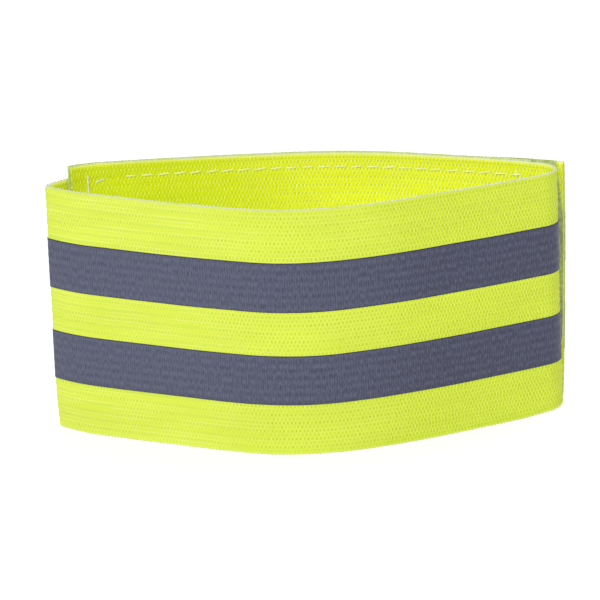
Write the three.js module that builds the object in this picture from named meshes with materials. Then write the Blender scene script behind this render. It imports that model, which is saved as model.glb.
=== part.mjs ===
// A reflective armband: one strip of ribbed elastic webbing with two reflective stripes along it. The
// strip goes once round and overlaps itself at the back, where a hook patch inside the outer end grips
// a loop patch on the inner end. Millimetres, +Z up, +X along the loop's long way, -Y to the front.

import * as THREE from 'three';

// The webbing
const BAND_HEIGHT = 75;
const ELASTIC_THICKNESS = 1.2;
const CLEARANCE = 0.2; // left between pieces that lie on each other

// The stripes are films let into the outer face, a little proud of it
const STRIPE_HEIGHT = 15;
const STRIPE_FEET = { lower: 15.6, upper: 44 };
const FILM_THICKNESS = 0.4;
const FILM_PROUD = 0.15;

// The closure
const LOOP_PATCH_THICKNESS = 1;
const LOOP_PATCH_LENGTH = 140;
const HOOK_PATCH_THICKNESS = 0.7;
const HOOK_PATCH_LENGTH = 60;
const PATCH_INSET = 0.8; // from the band's lower edge, on the hook patch
const PATCH_PROUD = 0.2; // above the band's upper edge, on the hook patch
const HOOK_TOP_CUT = { along: 2.2, up: 16.7 };
const HOOK_BOTTOM_CUT = { along: 12, up: 18.7 };

// The inner end was laid a little high, so its layer climbs from the right bend to its end
const INNER_END_LIFT = 4.5;
// The outer end is cut a little short towards the bottom
const TAB_BOTTOM_CUT = 1.7;
// The soft loop is twisted: its top edge is turned this far against its bottom edge, in degrees
const TWIST = -1.4;

// The finest steps along the strip
const LARGEST_STEP = 6;
const LARGEST_TURN = 6;

// The strip's plan, clockwise from the inner end as seen from above: the length along the middle of the
// webbing in millimetres and the turn in degrees, minus to the right. A null is worked out in closeLoop.
const START_HEADING = 43;
const INNER_LAYER = [
  { name: 'inner end', length: 9.5, turn: -27 },
  { name: 'back left', length: 58.5, turn: -5 },
  { name: 'back crown', length: 35.5, turn: -20 },
  { name: 'back right', length: 23, turn: -1 },
  { name: 'back return', length: 16.5, turn: -9.5 },
];
const ROUND_THE_FRONT = [
  { name: 'right bend', length: 16.5, turn: -129 },
  { name: 'front right', length: null, turn: -3 },
  { name: 'front right curve', length: 25, turn: -11.5 },
  { name: 'front nose', length: 29, turn: -35 },
  { name: 'front left curve', length: 21, turn: -5 },
  { name: 'front left', length: null, turn: -1.5 },
  { name: 'left shoulder', length: 16, turn: -18 },
  { name: 'left bend', length: 2.5, turn: null },
  { name: 'left join', length: 6.5, turn: -14 },
];
const TAB_TIP = { name: 'tab tip', length: 6.5, turn: -4 };

const HALF_ELASTIC = ELASTIC_THICKNESS / 2;
const loopPatchFace = HALF_ELASTIC + FILM_PROUD + CLEARANCE;
const hookPatchFace = -HALF_ELASTIC - CLEARANCE;
// From the middle of the inner layer to the middle of the outer one
const stack = loopPatchFace + LOOP_PATCH_THICKNESS + CLEARANCE + HOOK_PATCH_THICKNESS - hookPatchFace;

const radians = THREE.MathUtils.degToRad;
const along = (heading, distance) =>
  new THREE.Vector2(distance * Math.cos(heading), distance * Math.sin(heading));
const leftOf = (heading) => along(heading + Math.PI / 2, 1);

// The straight line from the start of a stretch to its end, where it sets off along heading
function chord(length, turn, heading) {
  const half = turn / 2;
  return along(heading + half, half === 0 ? length : (length * Math.sin(half)) / half);
}

// Gives the left bend what is left of one full turn, and the two straight front stretches the lengths
// that bring the strip to the outside of its own inner end.
function closeLoop(rows) {
  const turned = rows.reduce((sum, row) => sum + row.turn, 0);
  const whole = rows.map((row) => ({ ...row, turn: radians(row.turn ?? -360 - turned) }));
  const gap = leftOf(radians(START_HEADING)).multiplyScalar(stack);
  const open = [];
  let heading = radians(START_HEADING);
  for (const row of whole) {
    if (row.length === null) open.push({ row, reach: chord(1, row.turn, heading) });
    else gap.sub(chord(row.length, row.turn, heading));
    heading += row.turn;
  }
  const [first, second] = open;
  const area = first.reach.cross(second.reach);
  first.row.length = gap.cross(second.reach) / area;
  second.row.length = first.reach.cross(gap) / area;
  return whole;
}

// The outer layer runs beside the inner one, so its bends are wider and its stretches longer
const beside = (row) => ({ ...row, length: row.length - stack * row.turn });

// Points along the strip with the way out of the loop at each, close enough for its bends
function layStrip(rows) {
  let heading = radians(START_HEADING);
  const stations = [{ at: 0, point: new THREE.Vector2(), out: leftOf(heading) }];
  for (const { length, turn } of rows) {
    const count = Math.ceil(Math.max(length / LARGEST_STEP, Math.abs(turn) / radians(LARGEST_TURN)));
    for (let step = 0; step < count; step += 1) {
      const last = stations.at(-1);
      const point = last.point.clone().add(chord(length / count, turn / count, heading));
      heading += turn / count;
      stations.push({ at: last.at + length / count, point, out: leftOf(heading) });
    }
  }
  return stations;
}

const loop = closeLoop([...INNER_LAYER, ...ROUND_THE_FRONT]);
const innerLayer = loop.slice(0, INNER_LAYER.length);
const tabTip = { ...TAB_TIP, turn: radians(TAB_TIP.turn) };
const strip = layStrip([...loop, ...innerLayer.map(beside), tabTip]);
const stripLength = strip.at(-1).at;
const innerLayerLength = innerLayer.reduce((sum, row) => sum + row.length, 0);
const loopMiddle = new THREE.Box2()
  .setFromPoints(strip.map((station) => station.point))
  .getCenter(new THREE.Vector2());

// Where a point of the flat strip comes to lie: at along it, out from its middle and up its height
function placed(at, out, up) {
  const next = Math.min(Math.max(strip.findIndex((station) => station.at >= at), 1), strip.length - 1);
  const [before, after] = [strip[next - 1], strip[next]];
  const share = (at - before.at) / (after.at - before.at);
  const normal = before.out.clone().lerp(after.out, share);
  const point = before.point.clone().lerp(after.point, share).addScaledVector(normal, out);
  point.rotateAround(loopMiddle, radians(TWIST) * (up / BAND_HEIGHT - 0.5));
  const lift = INNER_END_LIFT * Math.max(0, 1 - at / innerLayerLength);
  return new THREE.Vector3(point.x, point.y, up + lift);
}

// A piece cut flat from its section, as [out, up] corners, and laid along the strip between two places.
// trim says how far short of its end the piece is cut at each height; the last part eases into the cut.
function laidPiece(name, section, from, to, material, trim = () => 0) {
  const between = strip.map((station) => station.at).filter((at) => at > from + 1 && at < to - 1);
  const places = [from, ...between, to];
  const outline = new THREE.Shape(section.map(([out, up]) => new THREE.Vector2(out, up)));
  const count = places.length - 1;
  const blocks = { depth: count, steps: count, bevelEnabled: false };
  const geometry = new THREE.ExtrudeGeometry(outline, blocks);
  const corners = geometry.getAttribute('position');
  const easing = 20;
  for (let index = 0; index < corners.count; index += 1) {
    const at = places[Math.round(corners.getZ(index))];
    const up = corners.getY(index);
    const cut = trim(up) * Math.max(0, 1 - (to - at) / easing);
    corners.setXYZ(index, ...placed(at - cut, corners.getX(index), up));
  }
  geometry.computeVertexNormals();
  const mesh = new THREE.Mesh(geometry, material);
  mesh.name = name;
  return mesh;
}

const tabTrim = (up) => TAB_BOTTOM_CUT * (1 - up / BAND_HEIGHT) ** 2;

// The webbing's section: the inner face is plain and the outer one has a shallow seat for each stripe
function elasticBand() {
  const seatFace = HALF_ELASTIC + FILM_PROUD - FILM_THICKNESS - CLEARANCE;
  const section = [[-HALF_ELASTIC, 0], [HALF_ELASTIC, 0]];
  for (const foot of [STRIPE_FEET.lower, STRIPE_FEET.upper]) {
    const [low, high] = [foot - CLEARANCE, foot + STRIPE_HEIGHT + CLEARANCE];
    section.push([HALF_ELASTIC, low], [seatFace, low], [seatFace, high], [HALF_ELASTIC, high]);
  }
  section.push([HALF_ELASTIC, BAND_HEIGHT], [-HALF_ELASTIC, BAND_HEIGHT]);
  const webbing = new THREE.MeshStandardMaterial({ color: 0xdff14f, roughness: 0.85, metalness: 0 });
  return laidPiece('elastic_band', section, 0, stripLength, webbing, tabTrim);
}

function reflectiveStripe(name, foot) {
  const face = HALF_ELASTIC + FILM_PROUD;
  const back = face - FILM_THICKNESS;
  const top = foot + STRIPE_HEIGHT;
  const section = [[back, foot], [face, foot], [face, top], [back, top]];
  const film = new THREE.MeshStandardMaterial({ color: 0x5c5f70, roughness: 0.5, metalness: 0.2 });
  return laidPiece(name, section, 0, stripLength, film, tabTrim);
}

// Soft loops on the outer face of the inner end, as tall as the band
function loopPatch() {
  const [back, face] = [loopPatchFace, loopPatchFace + LOOP_PATCH_THICKNESS];
  const section = [[back, 0], [face, 0], [face, BAND_HEIGHT], [back, BAND_HEIGHT]];
  const pile = new THREE.MeshStandardMaterial({ color: 0xbbd385, roughness: 0.95, metalness: 0 });
  return laidPiece('loop_patch', section, 0, LOOP_PATCH_LENGTH, pile);
}

// Stiff hooks on the inner face of the outer end, with both corners cut off at its tip
function hookPatch() {
  const [face, back] = [hookPatchFace - HOOK_PATCH_THICKNESS, hookPatchFace];
  const [bottom, top] = [PATCH_INSET, BAND_HEIGHT + PATCH_PROUD];
  // The low cut is long, so it takes some steps to follow the strip's curve
  const steps = 4;
  const low = Array.from({ length: steps + 1 }, (_, step) => bottom + (HOOK_BOTTOM_CUT.up * step) / steps);
  const heights = [...low, top - HOOK_TOP_CUT.up, top];
  const section = [...heights.map((up) => [back, up]), ...heights.toReversed().map((up) => [face, up])];
  const cornerCut = (up) =>
    HOOK_BOTTOM_CUT.along * Math.max(0, 1 - (up - bottom) / HOOK_BOTTOM_CUT.up) +
    HOOK_TOP_CUT.along * Math.max(0, 1 - (top - up) / HOOK_TOP_CUT.up);
  const hooks = new THREE.MeshStandardMaterial({ color: 0x98ad58, roughness: 0.8, metalness: 0 });
  const trim = (up) => tabTrim(up) + cornerCut(up);
  return laidPiece('hook_patch', section, stripLength - HOOK_PATCH_LENGTH, stripLength, hooks, trim);
}

const armband = new THREE.Group();
armband.add(
  elasticBand(),
  reflectiveStripe('reflective_stripe_lower', STRIPE_FEET.lower),
  reflectiveStripe('reflective_stripe_upper', STRIPE_FEET.upper),
  loopPatch(),
  hookPatch(),
);

// The origin is under the middle of the whole armband, on the surface that it stands on
const extent = new THREE.Box3().setFromObject(armband);
const middle = extent.getCenter(new THREE.Vector3());
for (const piece of armband.children) piece.position.set(-middle.x, -middle.y, -extent.min.z);

export default armband;
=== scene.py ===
"""The looks of a reflective armband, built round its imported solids.

One strip of ribbed elastic goes once round and overlaps itself at the back, where the hooks inside its
outer end grip the soft loops on its inner end. Two stripes of reflective film run along it. Every piece
is laid on the same plan of the strip, the one that the solids are made from. Lengths are in metres.
"""

from __future__ import annotations

import cmath
import logging
import math
from collections.abc import Callable, Sequence
from dataclasses import dataclass
from enum import Enum
from typing import Any

import bpy
import numpy as np
from mathutils import Matrix, Vector


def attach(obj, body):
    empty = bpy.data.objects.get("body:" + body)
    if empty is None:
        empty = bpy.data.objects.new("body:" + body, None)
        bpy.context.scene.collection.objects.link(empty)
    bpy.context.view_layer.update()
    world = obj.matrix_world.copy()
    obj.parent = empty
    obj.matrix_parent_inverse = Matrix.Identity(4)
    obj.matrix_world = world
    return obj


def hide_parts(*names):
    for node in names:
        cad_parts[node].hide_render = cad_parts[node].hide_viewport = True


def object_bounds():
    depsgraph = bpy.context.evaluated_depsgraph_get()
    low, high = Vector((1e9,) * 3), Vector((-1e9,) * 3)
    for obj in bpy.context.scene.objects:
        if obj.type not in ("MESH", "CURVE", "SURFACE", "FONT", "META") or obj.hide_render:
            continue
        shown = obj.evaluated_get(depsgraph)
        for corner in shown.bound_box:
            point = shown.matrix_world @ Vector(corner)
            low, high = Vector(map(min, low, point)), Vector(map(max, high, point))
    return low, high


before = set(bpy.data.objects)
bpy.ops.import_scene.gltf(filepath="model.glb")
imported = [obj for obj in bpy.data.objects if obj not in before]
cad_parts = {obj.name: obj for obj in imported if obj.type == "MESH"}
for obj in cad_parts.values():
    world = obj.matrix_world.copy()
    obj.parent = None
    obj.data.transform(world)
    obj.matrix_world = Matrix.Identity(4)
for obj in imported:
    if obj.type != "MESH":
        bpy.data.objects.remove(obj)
CAD_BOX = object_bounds()

LOG = logging.getLogger("armband")
MM = 0.001
BODY = "root"
CLOTH_UV = "cloth"
SIDE = "side"
OUTWARD = "outward"

Offset = Callable[[np.ndarray, np.ndarray], np.ndarray]
Trim = Callable[[np.ndarray], np.ndarray]
Colour = tuple[float, float, float]


class Side(Enum):
    """The face of the strip that a seam or a row of threads lies on."""

    OUTER = 1.0
    INNER = -1.0


class Slot(Enum):
    """Material slot names."""

    ELASTIC = "elastic"
    FILM = "reflective_film"
    PILE = "loop_pile"
    HOOKS = "hook_tape"


@dataclass(frozen=True)
class Stretch:
    """One stretch of the strip's plan, straight or an arc.

    The length is in millimetres along the middle of the webbing and the turn in degrees, minus to the
    right. A None is worked out when the plan is closed.
    """

    name: str
    length: float | None
    turn: float | None


INNER_LAYER = (
    Stretch("inner end", 9.5, -27),
    Stretch("back left", 58.5, -5),
    Stretch("back crown", 35.5, -20),
    Stretch("back right", 23, -1),
    Stretch("back return", 16.5, -9.5),
)
ROUND_THE_FRONT = (
    Stretch("right bend", 16.5, -129),
    Stretch("front right", None, -3),
    Stretch("front right curve", 25, -11.5),
    Stretch("front nose", 29, -35),
    Stretch("front left curve", 21, -5),
    Stretch("front left", None, -1.5),
    Stretch("left shoulder", 16, -18),
    Stretch("left bend", 2.5, None),
    Stretch("left join", 6.5, -14),
)
TAB_TIP = Stretch("tab tip", 6.5, -4)


@dataclass(frozen=True)
class FootCurl:
    """A curl in the webbing's lower edge, where it goes round a bend."""

    middle: float
    reach: float
    height: float
    flare: float
    lift: float

    def share(self, at: np.ndarray, up: np.ndarray) -> np.ndarray:
        """How much of the curl each place has.

        Args:
            at: Places along the strip.
            up: Heights on the strip.

        Returns:
            From 0 to 1 at each, most at the foot of the bend's middle.
        """
        near = np.clip(1 - np.abs(at - self.middle) / self.reach, 0, 1)
        low = np.clip(1 - up / self.height, 0, 1)
        return np.sin(near * math.pi / 2) ** 2 * low**2


@dataclass(frozen=True)
class StripSizes:
    """The sizes of the webbing and of what lies on it."""

    height: float = 75 * MM
    thickness: float = 1.2 * MM
    clearance: float = 0.2 * MM
    stripe_height: float = 15 * MM
    lower_stripe_foot: float = 15.6 * MM
    upper_stripe_foot: float = 44 * MM
    film_thickness: float = 0.4 * MM
    film_proud: float = 0.15 * MM
    loop_patch_thickness: float = 1 * MM
    loop_patch_length: float = 140 * MM
    hook_patch_thickness: float = 0.7 * MM
    hook_patch_length: float = 60 * MM
    patch_inset: float = 0.8 * MM
    patch_proud: float = 0.2 * MM
    inner_end_lift: float = 4.5 * MM
    twist: float = math.radians(-1.4)
    tab_bottom_cut: float = 1.7 * MM
    easing: float = 20 * MM
    foot_curls: tuple[FootCurl, ...] = (
        FootCurl(middle=152 * MM, reach=19 * MM, height=26 * MM, flare=0.35 * MM, lift=1.1 * MM),
        FootCurl(middle=322 * MM, reach=15 * MM, height=16 * MM, flare=-0.5 * MM, lift=0.0),
    )

    @property
    def half(self) -> float:
        """Half of the webbing's thickness."""
        return self.thickness / 2

    @property
    def film_face(self) -> float:
        """How far out the film's face lies."""
        return self.half + self.film_proud

    @property
    def loop_patch_back(self) -> float:
        """How far out the loop patch's back lies."""
        return self.film_face + self.clearance

    @property
    def hook_patch_back(self) -> float:
        """How far out the hook patch's back lies, which is minus because it is inside."""
        return -self.half - self.clearance

    @property
    def stack(self) -> float:
        """From the middle of the inner layer to the middle of the outer one."""
        patches = self.loop_patch_thickness + self.hook_patch_thickness
        return self.loop_patch_back + patches + self.clearance - self.hook_patch_back

    @property
    def hook_patch_top(self) -> float:
        """The height of the hook patch's upper edge, a little above the webbing's."""
        return self.height + self.patch_proud

    def tab_trim(self, up: np.ndarray) -> np.ndarray:
        """How far short of its end the outer end is cut at each height."""
        return self.tab_bottom_cut * (1 - up / self.height) ** 2


SIZES = StripSizes()


class StripPlan:
    """The strip's plan, clockwise from the inner end as seen from above."""

    start_heading = math.radians(43)
    fineness = 0.1 * MM

    def __init__(self, sizes: StripSizes) -> None:
        """Closes the loop, lays the outer layer beside the inner one and centres the whole.

        Args:
            sizes: The strip's sizes.
        """
        self.sizes = sizes
        loop = self._closed()
        inner = loop[: len(INNER_LAYER)]
        beside = [(length - sizes.stack * turn, turn) for length, turn in inner]
        tip = (TAB_TIP.length * MM, math.radians(TAB_TIP.turn))
        self.inner_length = sum(length for length, _ in inner)
        self.loop_length = sum(length for length, _ in loop)
        self._walk([*loop, *beside, tip])
        self._centre()

    @staticmethod
    def _chord(length: float, turn: float, heading: float) -> complex:
        """The straight line from the start of an arc to its end.

        Args:
            length: The arc's length.
            turn: Its turn in radians.
            heading: Where it sets off, in radians.

        Returns:
            The line, as x plus y times i.
        """
        half = turn / 2
        return cmath.rect(length * math.sin(half) / half, heading + half)

    def _closed(self) -> list[tuple[float, float]]:
        """Gives the left bend what is left of one turn, and the two open stretches their lengths.

        Returns:
            The length in metres and the turn in radians of each stretch of the loop.
        """
        rows = (*INNER_LAYER, *ROUND_THE_FRONT)
        turned = sum(row.turn for row in rows if row.turn is not None)
        turns = [math.radians(-360 - turned if row.turn is None else row.turn) for row in rows]
        gap = self.sizes.stack * cmath.rect(1, self.start_heading + math.pi / 2)
        reaches = []
        heading = self.start_heading
        for row, turn in zip(rows, turns):
            if row.length is None:
                reaches.append(self._chord(1, turn, heading))
            else:
                gap -= self._chord(row.length * MM, turn, heading)
            heading += turn
        first, second = reaches
        area = (first.conjugate() * second).imag
        open_lengths = [(gap.conjugate() * second).imag / area, (first.conjugate() * gap).imag / area]
        lengths = [open_lengths.pop(0) if row.length is None else row.length * MM for row in rows]
        return list(zip(lengths, turns))

    def _walk(self, rows: Sequence[tuple[float, float]]) -> None:
        """Walks along the strip and keeps its points and headings.

        Args:
            rows: The length and the turn of each stretch.
        """
        at, points, headings = [0.0], [0j], [self.start_heading]
        for length, turn in rows:
            count = max(2, round(length / self.fineness))
            start, point, heading = at[-1], points[-1], headings[-1]
            for step in range(1, count + 1):
                share = step / count
                at.append(start + length * share)
                points.append(point + self._chord(length * share, turn * share, heading))
                headings.append(heading + turn * share)
        self.at = np.array(at)
        self.points = np.array(points)
        self.headings = np.array(headings)
        self.length = at[-1]

    @staticmethod
    def _middle_of(points: np.ndarray) -> complex:
        """The middle of the rectangle round some points."""
        return complex(points.real.min() + points.real.max(), points.imag.min() + points.imag.max()) / 2

    def _twisted(self, points: np.ndarray, up: Any) -> np.ndarray:
        """Turns points of the plan about its middle, as much as the soft loop is twisted at their heights.

        Args:
            points: The points, as x plus y times i.
            up: Their heights on the strip.

        Returns:
            The turned points.
        """
        turn = self.sizes.twist * (up / self.sizes.height - 0.5)
        return (points - self.middle) * np.exp(1j * turn) + self.middle

    def _centre(self) -> None:
        """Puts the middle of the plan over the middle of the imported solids."""
        self.middle = self._middle_of(self.points)
        ways_out = 1j * np.exp(1j * self.headings)
        faces = [self._twisted(self.points + out * ways_out, up)
                 for out in (-self.sizes.half, self.sizes.film_face) for up in (0, self.sizes.height)]
        low, high = CAD_BOX
        shift = complex(low.x + high.x, low.y + high.y) / 2 - self._middle_of(np.concatenate(faces))
        self.points += shift
        self.middle += shift

    def ripple(self, at: np.ndarray, up: np.ndarray) -> np.ndarray:
        """How far the soft webbing stands in or out of its plan, on the front where it lies free.

        Args:
            at: Places along the strip.
            up: Heights on the strip.

        Returns:
            The distance outwards at each.
        """
        ends = (self.inner_length + 20 * MM, self.loop_length - 20 * MM)
        fade = np.clip(np.minimum(at - ends[0], ends[1] - at) / (30 * MM), 0, 1)
        waves = ((0.13, 61, 130, 0.4), (0.09, 37, -88, 2.1), (0.05, 23, 57, 4.0))
        total = sum(
            size * MM * np.sin(2 * math.pi * (at / (long * MM) + up / (tall * MM)) + phase)
            for size, long, tall, phase in waves
        )
        return fade * total + sum(curl.flare * curl.share(at, up) for curl in self.sizes.foot_curls)

    def place(self, at: Any, out: Any, up: Any) -> np.ndarray:
        """Where points of the flat strip come to lie.

        Args:
            at: Places along the strip.
            out: Distances outwards from its middle.
            up: Heights on it.

        Returns:
            An array of points, one row each, in the shape of the arguments.
        """
        at, out, up = np.broadcast_arrays(*(np.asarray(value, float) for value in (at, out, up)))
        inside = np.clip(at, 0, self.length)
        x = np.interp(inside, self.at, self.points.real)
        y = np.interp(inside, self.at, self.points.imag)
        heading = np.interp(inside, self.at, self.headings)
        beyond = at - inside
        out = out + self.ripple(at, up)
        lift = self.sizes.inner_end_lift * np.clip(1 - inside / self.inner_length, 0, 1)
        spots = self._twisted(x + 1j * y + (beyond + 1j * out) * np.exp(1j * heading), up)
        lift = lift + sum(curl.lift * curl.share(at, up) for curl in self.sizes.foot_curls)
        return np.stack([spots.real, spots.imag, up + lift], axis=-1)

    def outward(self, at: Any) -> np.ndarray:
        """The way out of the loop.

        Args:
            at: Places along the strip.

        Returns:
            A unit vector for each place.
        """
        heading = np.interp(np.asarray(at, float), self.at, self.headings)
        return np.stack([-np.sin(heading), np.cos(heading), np.zeros_like(heading)], axis=-1)

    def ahead(self, at: Any) -> np.ndarray:
        """The way along the strip.

        Args:
            at: Places along the strip.

        Returns:
            A unit vector for each place.
        """
        heading = np.interp(np.asarray(at, float), self.at, self.headings)
        return np.stack([np.cos(heading), np.sin(heading), np.zeros_like(heading)], axis=-1)

    def stations(self, start: float, end: float, step: float, turn: float) -> np.ndarray:
        """Places along the strip, closer together in its bends.

        Args:
            start: The first place.
            end: The last place.
            step: The longest step.
            turn: The largest turn between two places, in degrees.

        Returns:
            The places, in order.
        """
        fine = np.arange(start, end, self.fineness)
        bend = np.abs(np.gradient(np.interp(fine, self.at, self.headings), fine))
        rate = 1 / step + bend / math.radians(turn)
        total = np.concatenate([[0], np.cumsum((rate[1:] + rate[:-1]) / 2 * np.diff(fine))])
        count = math.ceil(total[-1])
        places = np.interp(np.linspace(0, total[-1], count + 1), total, fine)
        places[-1] = end
        return places


class Graph:
    """Builds one node tree, a node at a time."""

    def __init__(self, tree: bpy.types.NodeTree) -> None:
        """Keeps the tree.

        Args:
            tree: The material's or the modifier's tree.
        """
        self.tree = tree

    def node(self, kind: str, options: dict[str, Any] | None = None, **inputs: Any) -> bpy.types.Node:
        """Adds a node.

        Args:
            kind: The node's type.
            options: Its properties.
            inputs: Values or sockets by socket name, with _ for a space, or by place, as i0.

        Returns:
            The node.
        """
        made = self.tree.nodes.new(kind)
        for name, value in (options or {}).items():
            setattr(made, name, value)
        for name, value in inputs.items():
            by_place = name[0] == "i" and name[1:].isdigit()
            socket = made.inputs[int(name[1:]) if by_place else name.replace("_", " ")]
            if isinstance(value, bpy.types.NodeSocket):
                self.tree.links.new(value, socket)
            else:
                socket.default_value = value
        return made

    def math(self, operation: str, *values: Any) -> bpy.types.NodeSocket:
        """Adds a Math node.

        Args:
            operation: What it does.
            values: Numbers or sockets.

        Returns:
            Its result.
        """
        inputs = {f"i{place}": value for place, value in enumerate(values)}
        return self.node("ShaderNodeMath", {"operation": operation}, **inputs).outputs[0]

    def ramp(self, value: Any, low: float, high: float, bottom: float = 0, top: float = 1) -> Any:
        """Adds a smooth step from bottom to top while value goes from low to high.

        Args:
            value: The socket to read.
            low: Where the step starts.
            high: Where it ends.
            bottom: The result before it.
            top: The result after it.

        Returns:
            The result's socket.
        """
        options = {"interpolation_type": "SMOOTHSTEP"}
        inputs = {"i0": value, "i1": low, "i2": high, "i3": bottom, "i4": top}
        return self.node("ShaderNodeMapRange", options, **inputs).outputs[0]

    def mix(self, share: Any, first: Any, second: Any) -> bpy.types.NodeSocket:
        """Mixes two colours.

        Args:
            share: How much of the second, from 0 to 1.
            first: A colour or a socket.
            second: A colour or a socket.

        Returns:
            The mixed colour's socket.
        """
        sides = [value if isinstance(value, bpy.types.NodeSocket) else (*value, 1) for value in (first, second)]
        made = self.node("ShaderNodeMix", {"data_type": "RGBA"}, i0=share, i6=sides[0], i7=sides[1])
        return made.outputs[2]

    def noise(self, vector: Any, scale: float, detail: float = 2) -> bpy.types.NodeSocket:
        """Adds noise from 0 to 1.

        Args:
            vector: Where to read it.
            scale: How fine it is, per metre.
            detail: How many finer layers it has.

        Returns:
            The noise's socket.
        """
        return self.node("ShaderNodeTexNoise", Vector=vector, Scale=scale, Detail=detail).outputs[0]


class ClothGraph(Graph):
    """A material's tree that follows the cloth with its own UV map, which holds metres."""

    def __init__(self, material: bpy.types.Material) -> None:
        """Empties the material's tree and reads the cloth's map.

        Args:
            material: The material to build.
        """
        material.use_nodes = True
        material.node_tree.nodes.clear()
        super().__init__(material.node_tree)
        self.cloth = self.node("ShaderNodeUVMap", {"uv_map": CLOTH_UV}).outputs[0]
        split = self.node("ShaderNodeSeparateXYZ", Vector=self.cloth)
        self.along = split.outputs[0]
        self.up = split.outputs[1]

    def stretched(self, along: float, up: float) -> bpy.types.NodeSocket:
        """The cloth's map with each way scaled.

        Args:
            along: The scale along the strip.
            up: The scale up it.

        Returns:
            The scaled map's socket.
        """
        return self.node("ShaderNodeMapping", Vector=self.cloth, Scale=(along, up, 1)).outputs[0]

    def surface(self, colour: Any, roughness: Any, height: Any, relief: float, **fixed: Any) -> None:
        """Ends the tree in a shader.

        Args:
            colour: The colour's socket.
            roughness: The roughness, or its socket.
            height: The relief's socket, from 0 to 1.
            relief: How deep it is.
            fixed: The shader's other values, by name with _ for a space.
        """
        bump = self.node("ShaderNodeBump", Strength=1.0, Distance=relief, Height=height).outputs[0]
        shader = self.node("ShaderNodeBsdfPrincipled", Base_Color=colour, Roughness=roughness, Normal=bump, **fixed)
        self.node("ShaderNodeOutputMaterial", Surface=shader.outputs[0])


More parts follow.
